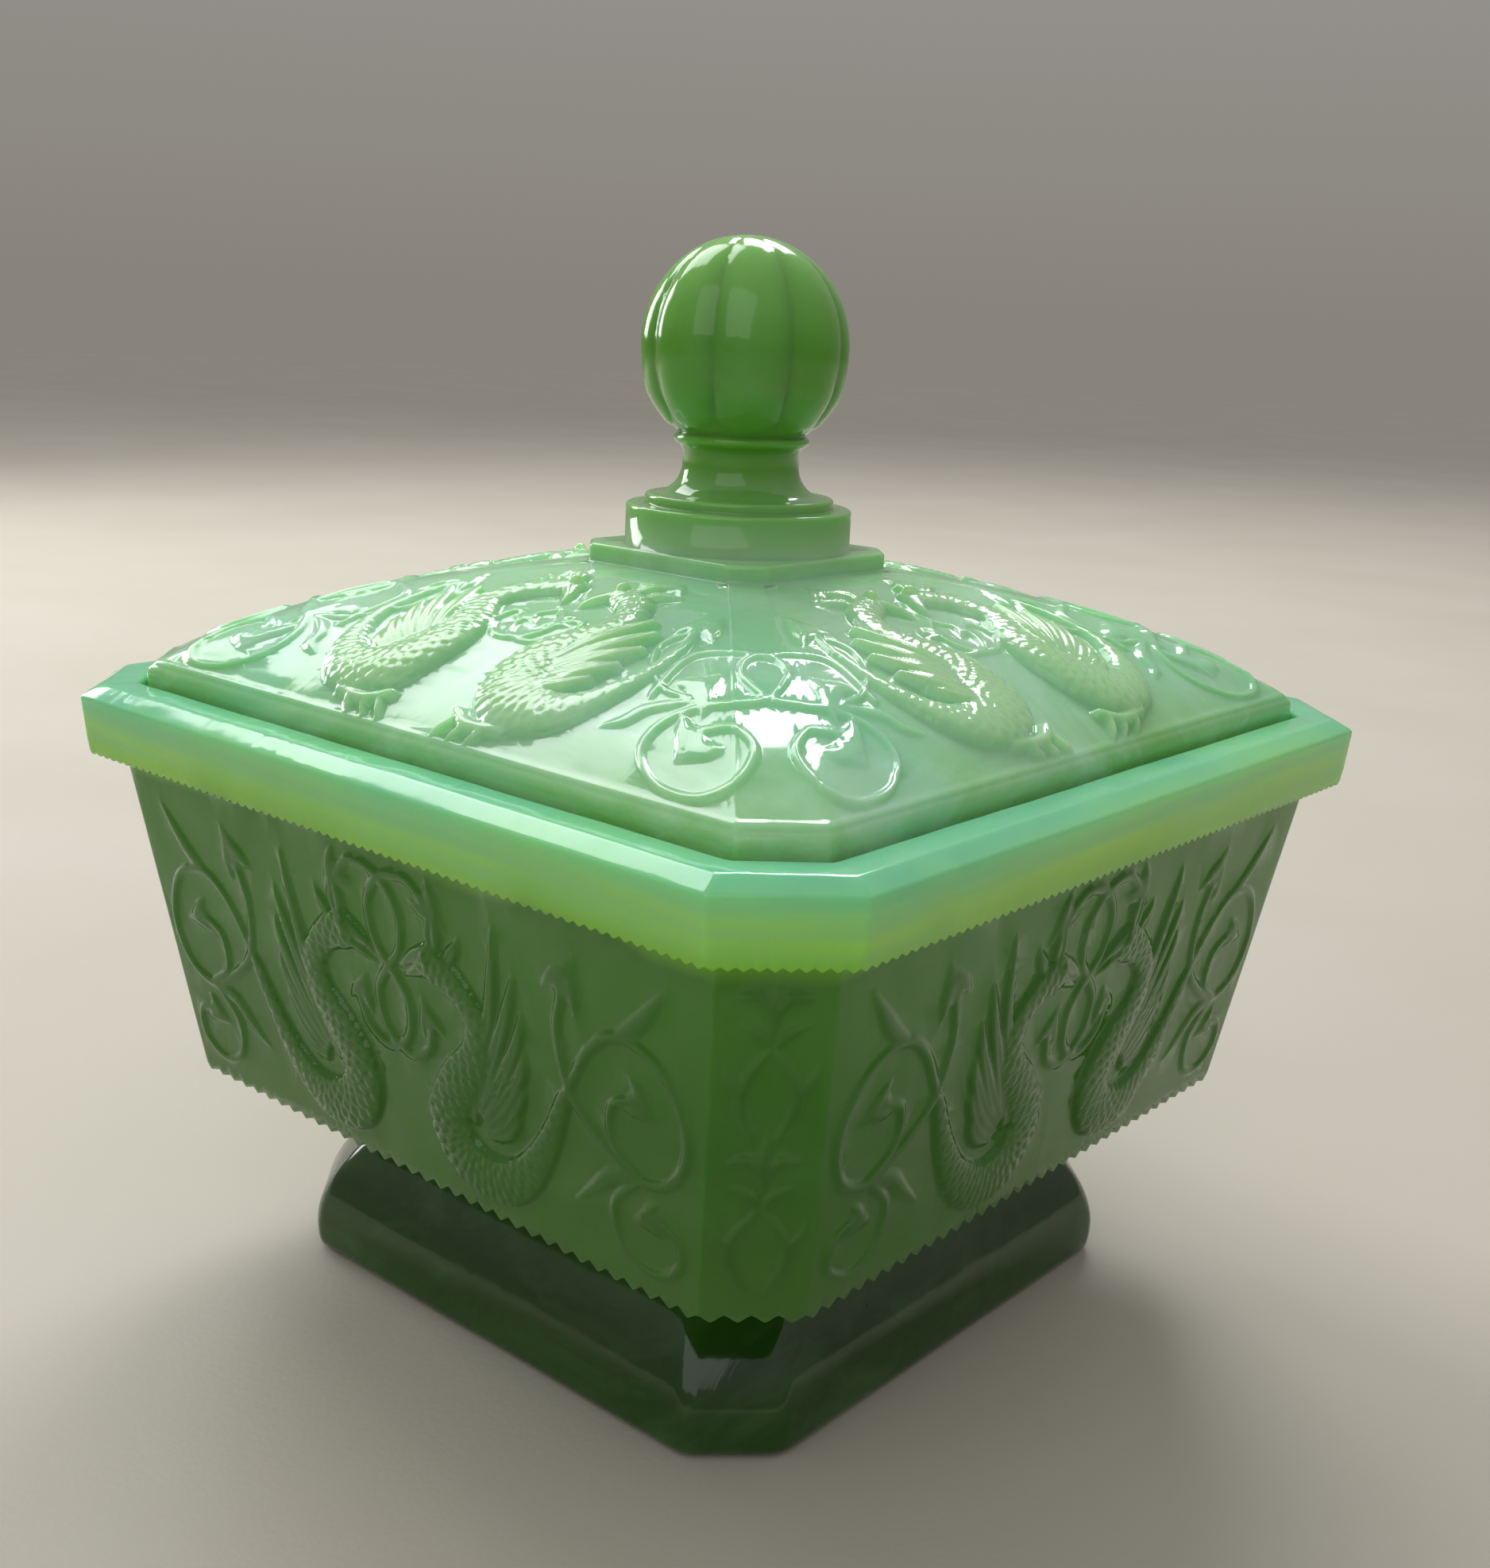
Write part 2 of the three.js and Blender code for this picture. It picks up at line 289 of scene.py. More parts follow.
def dome_sections(count, drop=0):
    """Evenly spaced sections of the dome; the inside is the outside lowered and drawn in by the drop."""
    curve = dome_curve(400)
    run = np.concatenate([[0], np.cumsum(np.linalg.norm(np.diff(curve, axis=0), axis=1))])
    wanted = np.linspace(0, run[-1], count)
    half = np.interp(wanted, run, curve[:, 0])
    z = np.interp(wanted, run, curve[:, 1])
    up = (lid.half - half) / (lid.half - dome.top_half)
    clip = mix(lid.clip, dome.top_clip, up)
    inwards = drop * (1 - up)
    return np.stack([half - inwards, clip - inwards * INSET_CLIP, z - drop], axis=-1), wanted


# ---------------- relief drawing
# A stroke's section is (1 - across**crest) ** edge, and it sinks as its width to the power thin.
strand_shape = Sizes(crest=2.6, edge=0.65, thin=0.45, groove_width=0.3)
body_shape = Sizes(crest=2, edge=0.55, thin=0.6, scale_cover=2.5)


class Panel:
    """A height map of pressed relief: u runs sideways from the middle, v up from the lower edge."""

    def __init__(self, half_width, height):
        self.u = np.arange(-half_width, half_width + map_cell, map_cell)
        self.v = np.arange(0, height + map_cell, map_cell)
        self.height = np.zeros((len(self.v), len(self.u)))

    def window(self, u, v, reach):
        """The rows and columns of the map within reach of a point."""
        columns = slice(*np.searchsorted(self.u, (u - reach, u + reach)))
        rows = slice(*np.searchsorted(self.v, (v - reach, v + reach)))
        return rows, columns

    def sweep(self, path):
        """How each cell lies in a stroke: across (0 middle, 1 edge), along, to its side, and its radius."""
        across = np.full(self.height.shape, np.inf)
        along = np.zeros_like(across)
        side = np.zeros_like(across)
        width = np.ones_like(across)
        tangents = np.gradient(path[:, :2], axis=0)
        tangents /= np.linalg.norm(tangents, axis=1)[:, None] + 1e-9
        run = np.concatenate([[0], np.cumsum(np.linalg.norm(np.diff(path[:, :2], axis=0), axis=1))])
        for (u, v, radius), (tu, tv), s in zip(path, tangents, run):
            window = self.window(u, v, radius)
            du = self.u[window[1]][None, :] - u
            dv = self.v[window[0]][:, None] - v
            q = np.hypot(du, dv) / radius
            closer = q < across[window]
            across[window][closer] = q[closer]
            along[window][closer] = (s + du * tu + dv * tv)[closer]
            side[window][closer] = (du * tv - dv * tu)[closer]
            width[window][closer] = radius
        return across, along, side, width

    def stroke(self, points, shape):
        """Across, along and to the side of a stroke, its section from 0 to 1, and its share of the height."""
        path = smooth_path(points)
        across, along, side, width = self.sweep(path)
        q = np.clip(across, 0, 1)
        share = np.clip(width / path[:, 2].max(), 0, 1) ** shape.thin
        return q, along, side, (1 - q**shape.crest) ** shape.edge, share

    def add(self, relief):
        self.height = np.maximum(self.height, relief)

    def ridge(self, points, height, groove=0):
        """A rounded strand through (u, v, radius) points, lower where narrower, and grooved if asked."""
        q, _, _, profile, share = self.stroke(points, strand_shape)
        if groove:
            profile *= 1 - groove * np.exp(-((q / strand_shape.groove_width) ** 2))
        self.add(height * share * profile)

    def scaly(self, points, height, scale_height, pitch):
        """A rounded body covered in overlapping scales whose free edges point along the stroke."""
        q, along, side, profile, share = self.stroke(points, body_shape)
        cover = np.minimum(1, body_shape.scale_cover * profile) * (q < 1)
        self.add(height * share * profile + scale_height * share * cover * scales(along, side, pitch))

    def dot(self, u, v, radius, height, base=0):
        """A round bead that stands on the base height."""
        window = self.window(u, v, radius)
        du = self.u[window[1]][None, :] - u
        dv = self.v[window[0]][:, None] - v
        q = np.clip(np.hypot(du, dv) / radius, 0, 1)
        bead = np.where(q < 1, base + height * np.sqrt(1 - q**2), 0)
        self.height[window] = np.maximum(self.height[window], bead)

    def finished(self):
        """The panel with its mirror image added, smoothed by one cell."""
        self.add(self.height[:, ::-1])
        padded = np.pad(self.height, 1, mode="edge")
        rows = (padded[:-2] + 2 * padded[1:-1] + padded[2:]) / 4
        self.height = (rows[:, :-2] + 2 * rows[:, 1:-1] + rows[:, 2:]) / 4
        return self

    def sample(self, u, v):
        """Height at the given points, zero outside the panel."""
        column = (u - self.u[0]) / map_cell
        row = (v - self.v[0]) / map_cell
        inside_map = (column >= 0) & (column < len(self.u) - 1) & (row >= 0) & (row < len(self.v) - 1)
        column = np.clip(column, 0, len(self.u) - 1.001)
        row = np.clip(row, 0, len(self.v) - 1.001)
        c, r = column.astype(int), row.astype(int)
        fc, fr = column - c, row - r
        low = mix(self.height[r, c], self.height[r, c + 1], fc)
        high = mix(self.height[r + 1, c], self.height[r + 1, c + 1], fc)
        return np.where(inside_map, mix(low, high, fr), 0)


def smooth_path(points):
    """A Catmull-Rom curve through (u, v, radius) points, as closely spaced samples."""
    p = np.array(points, float)
    p = np.vstack([2 * p[0] - p[1], p, 2 * p[-1] - p[-2]])
    samples = []
    for a, b, c, d in zip(p, p[1:], p[2:], p[3:]):
        count = max(2, int(np.linalg.norm(c[:2] - b[:2]) / path_step))
        t = (np.arange(count) / count)[:, None]
        squared = 2 * a - 5 * b + 4 * c - d
        cubed = 3 * b - a - 3 * c + d
        samples.append(0.5 * (2 * b + (c - a) * t + squared * t**2 + cubed * t**3))
    samples.append(p[-2][None, :])
    path = np.vstack(samples)
    path[:, 2] = np.maximum(path[:, 2], finest_radius)
    return path


def scales(along, side, pitch):
    """Height of overlapping round scales: each rises to its free edge and covers the next row's start."""
    row_pitch = 0.55 * pitch
    radius = 0.64 * pitch
    height = np.zeros_like(along)
    first = np.ceil((along - radius) / row_pitch)
    for later in (2, 1, 0):
        row = first + later
        offset = 0.5 * (row % 2)
        centre_along = row * row_pitch
        centre_side = (np.round(side / pitch - offset) + offset) * pitch
        covered = np.hypot(along - centre_along, side - centre_side) < radius
        rise = (along - centre_along + radius) / (2 * radius)
        height = np.where(covered, rise, height)
    return height


def leaf(panel, base, tip, width, height, bend=0):
    """A pointed leaf with a groove down its middle."""
    (u0, v0), (u1, v1) = base, tip
    side_u, side_v = -(v1 - v0) * bend, (u1 - u0) * bend
    shape = [(0, 0.35), (0.28, 1), (0.55, 0.8), (0.8, 0.42), (1, 0.08)]
    points = []
    for t, share in shape:
        swing = 4 * t * (1 - t)
        points.append((mix(u0, u1, t) + side_u * swing, mix(v0, v1, t) + side_v * swing, width * share))
    panel.ridge(points, height, groove=0.35)


def arrow(panel, base, tip, width, height):
    """A spade-shaped leaf: a tapering body with a fine groove, and two barbs swept back from its middle."""
    (u0, v0), (u1, v1) = base, tip
    du, dv = u1 - u0, v1 - v0
    size = math.hypot(du, dv)
    shape = [(0.1, 0.4 * width), (0.3, 0.85 * width), (0.6, 0.52 * width), (1, 0.03)]
    panel.ridge([(u0 + t * du, v0 + t * dv, share * size) for t, share in shape], height, groove=0.15)
    swept = [(0.5, 0.2, 0.42), (0.2, 0.66, 0.42), (-0.16, 1.08, 0.06)]
    for hand in (-1, 1):
        barb = []
        for t, out, share in swept:
            aside = hand * out * width
            barb.append((u0 + t * du - aside * dv, v0 + t * dv + aside * du, share * width * size))
        panel.ridge(barb, height)


def strand(panel, points, radius, height):
    """A stroke of even radius through (u, v) points."""
    panel.ridge([(u, v, radius) for u, v in points], height)


# ---------------- the wall's ornament
wall_relief = Sizes(
    bird=0.75, scales=0.8, pitch=2.2, feather=0.85, beak=0.85, lower_beak=0.7, eye=0.28, eye_base=1.05,
    vine=0.48, strand=0.48,
)


def wall_bird(panel):
    body = [
        (9, 33.5, 2.9), (13.2, 31.4, 2.4), (16.3, 27.3, 2.3), (15.3, 22.3, 2.7), (11.5, 17.5, 3.4),
        (9, 12, 4.0), (11.5, 7.0, 4.1), (17.5, 5.6, 3.6), (23, 8.5, 2.7), (27.5, 14.5, 1.9), (31.2, 22, 1.2),
    ]
    panel.scaly(body, wall_relief.bird, wall_relief.scales, wall_relief.pitch)
    panel.ridge([(7, 34, 1.6), (4.4, 32.9, 0.9), (2.4, 31.3, 0.25)], wall_relief.beak)
    panel.ridge([(7, 32, 1.1), (4.6, 31, 0.6), (3, 30.3, 0.2)], wall_relief.lower_beak)
    leaf(panel, (9.8, 35.3), (10.7, 41.8), 1.7, wall_relief.feather, bend=0.06)
    leaf(panel, (11.6, 34.6), (14.6, 38.6), 1.1, wall_relief.feather * 0.85, bend=-0.08)
    panel.dot(8.4, 34.2, 0.85, wall_relief.eye, base=wall_relief.eye_base)


def wall_wing(panel):
    feathers = [
        [(14, 13.5), (14.6, 18), (18.3, 27), (20.4, 36), (21.2, 41.6)],
        [(15.3, 15.5), (18.6, 22.5), (22.2, 30.5), (24, 35.8)],
        [(16, 14.7), (20, 20.5), (23.6, 27), (24.8, 31)],
        [(16.6, 13.8), (20.6, 18), (24, 23.2), (24.7, 26)],
        [(17, 13), (20.6, 15.7), (23.3, 19.6), (23.6, 21.8)],
        [(17.2, 12.2), (20, 13.4), (22, 15.8), (22.2, 17.4)],
    ]
    for points in feathers:
        taper = np.linspace(0, 1, len(points))
        widths = 1.25 * np.sin(math.pi * (0.25 + 0.7 * taper)) + 0.1
        panel.ridge([(u, v, w) for (u, v), w in zip(points, widths)], wall_relief.feather, groove=0.25)


def wall_vine(panel):
    """The tail runs on as a vine that closes a loop and ends in a bud; more tendrils leave it."""
    tall = wall_relief.vine
    loop = [
        (31, 21.8), (36.5, 30.5), (42, 33.6), (48.3, 31), (51.2, 24), (48.9, 17.5), (43, 15.4), (36.6, 19),
        (32.4, 23.5), (31, 31), (32.4, 36.4),
    ]
    strand(panel, loop, 0.8, tall)
    arrow(panel, (32.2, 36.2), (35.2, 42), 0.42, tall)
    strand(panel, [(43.6, 15.6), (39.2, 19), (39.3, 24), (43.4, 26.2)], 0.66, tall)
    arrow(panel, (42.6, 26.4), (47.6, 24.6), 0.42, tall)
    panel.ridge([(40.8, 33.2, 0.8), (44.4, 35.8, 1.3), (47, 38.6, 1.0), (50, 42.2, 0.2)], tall)
    panel.ridge([(43.2, 15.4, 0.7), (38.4, 14.2, 1.25), (35.2, 11.4, 1.0), (31.4, 8.4, 0.2)], tall)
    curl = [(43, 15.4), (38.4, 10.6), (39.4, 5), (44, 2.9), (48.3, 5.4), (48.3, 9.6), (44.6, 11.2)]
    strand(panel, curl, 0.7, tall)
    arrow(panel, (45.6, 11), (41.2, 9.4), 0.42, tall)


def wall_interlace(panel):
    """Two mirrored strands that cross between the birds' beaks."""
    path = [
        (-9.2, 41.2), (-5.2, 44), (0, 42.9), (3.1, 38.6), (2.4, 33.5), (-0.4, 30.2), (-3, 26.5),
        (-2.2, 21.2), (2, 18.5), (6, 20.3), (7.4, 24),
    ]
    strand(panel, path, 0.85, wall_relief.strand)
    arrow(panel, (7.2, 23.4), (5.6, 28), 0.42, wall_relief.strand)
    arrow(panel, (-8.2, 42.4), (-12.4, 38.2), 0.42, wall_relief.strand)


def wall_face_panel(height):
    panel = Panel(wall.top_half, height)
    wall_vine(panel)
    wall_interlace(panel)
    wall_wing(panel)
    wall_bird(panel)
    return panel.finished()


def wall_corner_panel(height):
    """A slender lyre of leaves on each corner facet."""
    panel = Panel(rim.clip, height)
    tall = wall_relief.vine * 0.85
    for top, size in ((43.4, 1), (22, 1.1)):
        panel.ridge([(0.4, top - 2.4, 0.3), (1.8, top, 0.75), (3.8, top - 0.2, 0.4)], tall)
        leaf(panel, (0.5, top - 6.4), (3.9, top - 3.6), 0.8, tall, bend=0.15)
        side = [(0.5, top - 7, 0.4), (2.6 * size, top - 10.6, 0.75), (3.1 * size, top - 14, 0.8)]
        panel.ridge([*side, (1.3, top - 18.4, 0.4)], tall)
        leaf(panel, (3.1, top - 12.6), (5.2, top - 8.6), 0.7, tall, bend=-0.1)
    panel.ridge([(0, 45.6, 0.2), (0, 41.5, 0.7), (0, 38.5, 0.2)], tall)
    panel.ridge([(0, 24.6, 0.3), (0, 21.5, 0.8), (0, 17.6, 0.2)], tall)
    return panel.finished()


# ---------------- the lid's ornament
lid_relief = Sizes(
    bird=1.6, scales=0.7, pitch=2.2, feather=2.15, beak=1.35, crest=1.3, low_crest=1.2, eye=0.4,
    eye_base=1.75, claw=1.4, toe=1.2, scroll=0.52,
)


def lid_bird(panel):
    body = [
        (5, 38.3, 2.5), (10, 35.3, 2.6), (12.6, 29.5, 2.7), (10, 23.5, 3.5), (9.2, 17.5, 4.6),
        (12, 10.8, 5.3), (18.3, 9.4, 4.1), (23.3, 13, 2.6), (25.9, 20, 1.5), (25.3, 27.5, 0.9),
        (23.3, 33, 0.6),
    ]
    panel.scaly(body, lid_relief.bird, lid_relief.scales, lid_relief.pitch)
    arrow(panel, (23.5, 32.6), (22.3, 38.4), 0.45, lid_relief.scroll)
    panel.ridge([(4.6, 37.8, 1.7), (2.6, 35.3, 1.0), (1.8, 33, 0.25)], lid_relief.beak)
    leaf(panel, (6, 39.6), (9.8, 44.4), 1.5, lid_relief.crest, bend=0.1)
    leaf(panel, (8.4, 38.4), (13.6, 41), 1.2, lid_relief.low_crest, bend=0.1)
    panel.dot(4.6, 38.9, 0.9, lid_relief.eye, base=lid_relief.eye_base)


def lid_wing(panel):
    feathers = [
        [(11.4, 17.5), (14, 24), (16.8, 31.8)],
        [(12.3, 16.8), (16.6, 22.8), (19.8, 29)],
        [(12.8, 15.6), (17.4, 19.8), (21.2, 25)],
        [(13, 14.3), (17.4, 16.7), (21, 20.6)],
        [(13.2, 13), (17, 14), (19.9, 16.8)],
    ]
    for points in feathers:
        widths = (0.7, 1.75, 0.7)
        panel.ridge([(u, v, w) for (u, v), w in zip(points, widths)], lid_relief.feather, groove=0.2)


def lid_claws(panel):
    panel.ridge([(6.6, 6.3, 0.9), (10, 4.4, 1.2), (15.8, 4.8, 0.8)], lid_relief.claw)
    for toe in (6.2, 9.2, 12.4):
        panel.ridge([(toe + 1.2, 4.8, 0.75), (toe, 3.1, 0.6), (toe - 0.9, 2.2, 0.25)], lid_relief.toe)


def lid_interlace(panel):
    path = [(0, 31.5), (3.2, 28), (1.8, 23.4), (-3, 22.2), (-6.8, 25), (-6.4, 29), (-3.3, 28.4)]
    strand(panel, path, 0.5, lid_relief.scroll)
    arrow(panel, (-3.8, 28.8), (-0.6, 26.6), 0.4, lid_relief.scroll)
    arrow(panel, (-9.6, 42.6), (-8.6, 46.4), 0.45, lid_relief.scroll)


def lid_face_panel(height):
    panel = Panel(lid.half, height)
    lid_interlace(panel)
    lid_wing(panel)
    lid_claws(panel)
    lid_bird(panel)
    return panel.finished()


def lid_corner_panel(height):
    """Scrolls that spread from each corner facet over the faces on both sides of it."""
    panel = Panel(lid.half / 2, height)
    tall = lid_relief.scroll
    lower_loop = [
        (-0.5, 19.6), (-8, 17.4), (-15, 13), (-18.6, 7.8), (-16.4, 3.8), (-10.4, 3.3), (-4.6, 6.6),
        (-2.2, 11.4), (-4.4, 14.6), (-8.9, 13.2),
    ]
    strand(panel, lower_loop, 0.62, tall)
    arrow(panel, (-9.4, 12.6), (-13.2, 7.6), 0.5, tall)
    vine = [(-25.5, 10, 0.12), (-21.5, 11.6, 0.7), (-17.5, 14.6, 0.8), (-10, 17.6, 0.6), (0, 20, 0.5)]
    panel.ridge(vine, tall)
    upper_loop = [(0.4, 20.2), (2.9, 24.8), (1.2, 28.4), (-5, 29), (-11, 25.8), (-17, 17)]
    strand(panel, upper_loop, 0.5, tall)
    tendril = [(-8.3, 33), (-14.6, 28.6), (-16.8, 23.4), (-15, 18.9), (-10.8, 18)]
    strand(panel, tendril, 0.5, tall)
    arrow(panel, (-10.8, 18.2), (-5.2, 24.2), 0.36, tall)
    arrow(panel, (-8.3, 32.6), (-6.6, 37.2), 0.42, tall)
    return panel.finished()


# ---------------- skins
def saw(per_flat, per_corner):
    """A row of teeth with softened points round the eight sides: 0 in the gaps and 1 at the points."""
    count = np.where(on_corner, per_corner, per_flat)
    phase = (column_across + 1) / 2 * count % 1
    pointed = 1 - np.abs(2 * phase - 1)
    rounded = 0.5 - 0.5 * np.cos(2 * math.pi * phase)
    return (pointed + rounded) / 2


def seam_ridge(points):
    """The thin line that the mould's joint leaves up one edge of each corner facet."""
    edge = np.roll(points, -1, axis=1)
    step = np.linalg.norm(edge - points, axis=-1)
    ridge = np.zeros(points.shape[:2])
    for corner in range(1, SIDES, 2):
        start = np.argmax(column_side == corner)
        for way in (1, -1):
            run = np.zeros(len(points))
            for column in range(start, start + way * seam.columns, way):
                ridge[:, column] = np.maximum(ridge[:, column], np.clip(1 - run / seam.half_width, 0, 1))
                run = run + step[:, min(column, column + way)]
    return seam.height * ridge


def waviness(points):
    """Shallow waves, about 14 to 70 mm long, that pressed and fire-polished glass keeps."""
    x, y, z = points[..., 0], points[..., 1], points[..., 2]
    wave = np.sin(x / 4.7 + 1.3 * np.sin(z / 9.1)) * np.sin(y / 5.9 + 0.7)
    wave += 0.7 * np.sin(z / 3.9 + y / 11.3 + 2.1) * np.sin(x / 8.3 + 0.4)
    wave += 0.5 * np.sin((x + y) / 3.1 + z / 6.7) * np.sin((x - y) / 3.7 + 1.9)
    return wave_height * wave


def grid_normals(points):
    """Unit normals of the grid, pointing out of the glass."""
    around = np.roll(points, -1, axis=1) - np.roll(points, 1, axis=1)
    along = np.gradient(points, axis=0)
    normals = np.cross(around, along)
    return normals / (np.linalg.norm(normals, axis=-1, keepdims=True) + 1e-12)


def finish_skin(points, relief, seams):
    """Moves the grid out along its normals by its relief, its seams and a slight waviness."""
    normals = grid_normals(points)
    out = relief + waviness(points) + seams
    return points + normals * out[..., None]


def bowl_grid():
    """The bowl's rows of points, with the relief's height and the drop of the toothed edges at each."""
    below_rows = soften(recess_corners() + foot_corners() + neck_corners())
    up_the_neck = np.clip((below_rows[:, 2:3] - foot.bulge_top) / (wall.bottom - foot.bulge_top), 0, 1)
    below = octagon_rows(below_rows, mix(foot.rounding, corner_radius, up_the_neck))[0]
    sections = wall_sections()
    face, along = octagon_rows(sections)
    up = np.broadcast_to((sections[:, 2] - wall.bottom)[:, None], along.shape)
    wall_height = rim.bottom - wall.bottom
    leaves = wall_corner_panel(wall_height).sample(along, up)
    birds = wall_face_panel(wall_height).sample(along, up)
    relief = np.where(on_corner, leaves, birds)
    wall_tooth = saw(teeth.wall_per_flat, teeth.wall_per_corner)
    fade = np.clip(1 - up / teeth.wall_fade, 0, 1)
    rim_rows = soften(rim_corners() + inside_corners())
    above = octagon_rows(rim_rows)[0]
    rim_tooth = saw(teeth.rim_per_flat, teeth.rim_per_corner)
    rim_side = rim_rows[:, 0] > rim.half - rim.side_depth
    edge = rim_side & (rim_rows[:, 2] < rim.bottom + teeth.rim_fade)
    points = np.vstack([below, face, above])
    flat_below, flat_above = np.zeros(below.shape[:2]), np.zeros(above.shape[:2])
    heights = np.vstack([flat_below, relief, flat_above])
    wall_drop = teeth.wall_depth * wall_tooth * fade
    rim_drop = teeth.rim_depth * rim_tooth * edge[:, None]
    drops = np.vstack([flat_below, wall_drop, rim_drop])
    seam_rows = np.concatenate([np.zeros(len(below)), np.ones(len(face)), rim_side])
    seams = seam_ridge(points) * seam_rows[:, None]
    return finish_skin(points, heights, seams), heights, drops


def ball_rows(angles):
    """The ball with grooves between its gores, which end below in pads and petals on a smooth stalk.

    Also returns the height of its surface over the ungrooved ball, which paints shade into the grooves.
    """
    first = math.asin((ball.start - ball.centre) / ball.down)
    polar = np.linspace(first, math.pi / 2 - 0.02, 12 * arc_steps)[:, None]
    stretch = np.where(polar < 0, ball.down, ball.up)
    z = ball.centre + stretch * np.sin(polar) + 0 * angles
    from_gore = 1 - 2 * np.abs(angles * ball.gores / (2 * math.pi) % 1 - 0.5)
    petal_edge = ball.petal_z - ball.petal_drop * np.sqrt(np.clip(1 - from_gore**2, 0, 1))
    on_petal = np.clip((z - petal_edge) / ball.petal_step, 0, 1)
    on_petal = on_petal * on_petal * (3 - 2 * on_petal)
    fade = np.cos(polar) ** 0.8
    groove = ball.groove * from_gore**ball.groove_power * fade
    sunk = mix(ball.stalk_in, groove, on_petal)
    pad = ball.pad * np.exp(-(((z - ball.pad_z) / ball.pad_spread) ** 2)) * (1 - from_gore**4)
    radius = ball.radius * np.cos(polar) - sunk + pad
    return np.stack([radius * np.cos(angles), radius * np.sin(angles), z], axis=-1), -groove


def stem_outline():
    """Disc, step, hollow flare, neck and collar, as (radius, z, reach)."""
    flare_top = disc.step_top + flare.reach
    corners = [
        (disc.radius, plinth.top, 0.01),
        (disc.radius, disc.top, disc.reach),
        (disc.step_radius, disc.top, 0.3),
        (disc.step_radius, disc.step_top, disc.reach),
    ]
    for angle in np.linspace(math.pi / 2, 0, 2 * arc_steps):
        radius = flare.outer - flare.reach * math.cos(angle)
        corners.append((radius, flare_top - flare.reach * math.sin(angle), 0))
    corners.append((collar.neck, collar.z - collar.height / 2 - 0.8, 0))
    for share in np.linspace(0, 1, 2 * arc_steps):
        swell = math.sin(share * math.pi) ** 0.7
        radius = mix(collar.neck + 0.5, collar.radius, swell)
        corners.append((radius, collar.z + (share - 0.5) * collar.height, 0))
    return soften(corners)


def lid_grid():
    """The lid's rows of points, with the relief's height at each, and no teeth."""
    under = dome_sections(4 * arc_steps, drop=lid.thickness)[0][::-1]
    flange_bottom = seat.floor + lid.gap
    skirt = soften([
        tuple(under[-1]) + (0,),
        inset(lid, lid.flange, flange_bottom, 0.3),
        inset(lid, 0.3, flange_bottom, 0.5),
        inset(lid, 0, lid.crease, lid.crease_reach),
        tuple(dome_sections(40)[0][1]) + (0,),
    ])[1:-1]
    length = dome_length()
    sections, up = dome_sections(round(length / relief_row_step))
    keep = (up > lid.crease_reach * 1.05) & (up < length - dome.corner_reach * 1.05)
    sections, up = sections[keep], up[keep]
    softening = np.clip(up / dome.blend_length, 0, 1)[:, None]
    face, along = octagon_rows(sections, mix(corner_radius, dome.blend_radius, softening))
    up = np.broadcast_to(up[:, None], along.shape)
    flat_length = 2 * (sections[:, 0:1] - sections[:, 1:2])
    facet_length = sections[:, 1:2] * math.sqrt(2)
    from_facet = np.where(on_corner, along, facet_length / 2 + flat_length / 2 - np.abs(along))
    scrolls = lid_corner_panel(length).sample(from_facet, up)
    birds = np.where(on_corner, 0, lid_face_panel(length).sample(along, up))
    lip = lid.lip * np.exp(-(((up - lid.lip_at) / lid.lip_width) ** 2))
    relief = np.maximum(scrolls, birds) + lip
    plinth_foot = Sizes(half=dome.top_half, clip=dome.top_clip)
    plinth_rows = soften([
        tuple(sections[-1]) + (0,),
        inset(plinth_foot, 0, dome.top, dome.corner_reach),
        inset(plinth_foot, 0, plinth.top, plinth.reach),
        inset(plinth_foot, 2 * plinth.reach, plinth.top),
    ])[1:-1]
    lower = octagon_rows(np.vstack([under, skirt]))[0]
    plinth_points = octagon_rows(plinth_rows)[0]
    angles = np.arctan2(plinth_points[-1, :, 1], plinth_points[-1, :, 0])
    knob, groove_shade_heights = ball_rows(angles)
    points = np.vstack([lower, face, plinth_points, round_rows(stem_outline(), angles), knob])
    heights = np.zeros(points.shape[:2])
    start = len(lower)
    heights[start : start + len(face)] = relief
    seams = seam_ridge(points)
    seams[: len(under)] = 0
    seams[start + len(face) :] = 0
    skin = finish_skin(points, heights, seams)
    # The ball's groove depths go into the relief attribute, where they paint shade into the grooves.
    heights[-len(knob) :] = groove_shade_heights
    return skin, heights, np.zeros(heights.shape)


def skin_faces(rows, columns):
    """Triangles of a closed skin: a fan to the first centre, the grid's quads, and a fan to the last one."""
    here = np.arange(columns)
    following = (here + 1) % columns
    centre_below = rows * columns
    centre_above = centre_below + 1
    last = (rows - 1) * columns
    fans = [
        np.stack([here * 0 + centre_below, following, here], axis=-1),
        np.stack([last + here, last + following, here * 0 + centre_above], axis=-1),
    ]
    level = (np.arange(rows - 1) * columns)[:, None]
    a, b = level + here, level + following
    c, d = b + columns, a + columns
    quads = [np.stack([a, b, c], axis=-1).reshape(-1, 3), np.stack([a, c, d], axis=-1).reshape(-1, 3)]
    return np.vstack(quads + fans)


def mesh_from(name, points, faces):
    """A mesh of triangles, filled from arrays."""
    mesh = bpy.data.meshes.new(name)
    mesh.vertices.add(len(points))
    mesh.vertices.foreach_set("co", points.astype(np.float32).ravel())
    mesh.loops.add(faces.size)
    mesh.loops.foreach_set("vertex_index", faces.astype(np.int32).ravel())
    mesh.polygons.add(len(faces))
    mesh.polygons.foreach_set("loop_start", np.arange(0, faces.size, 3, dtype=np.int32))
    mesh.update(calc_edges=True)
    mesh.validate()
    return mesh


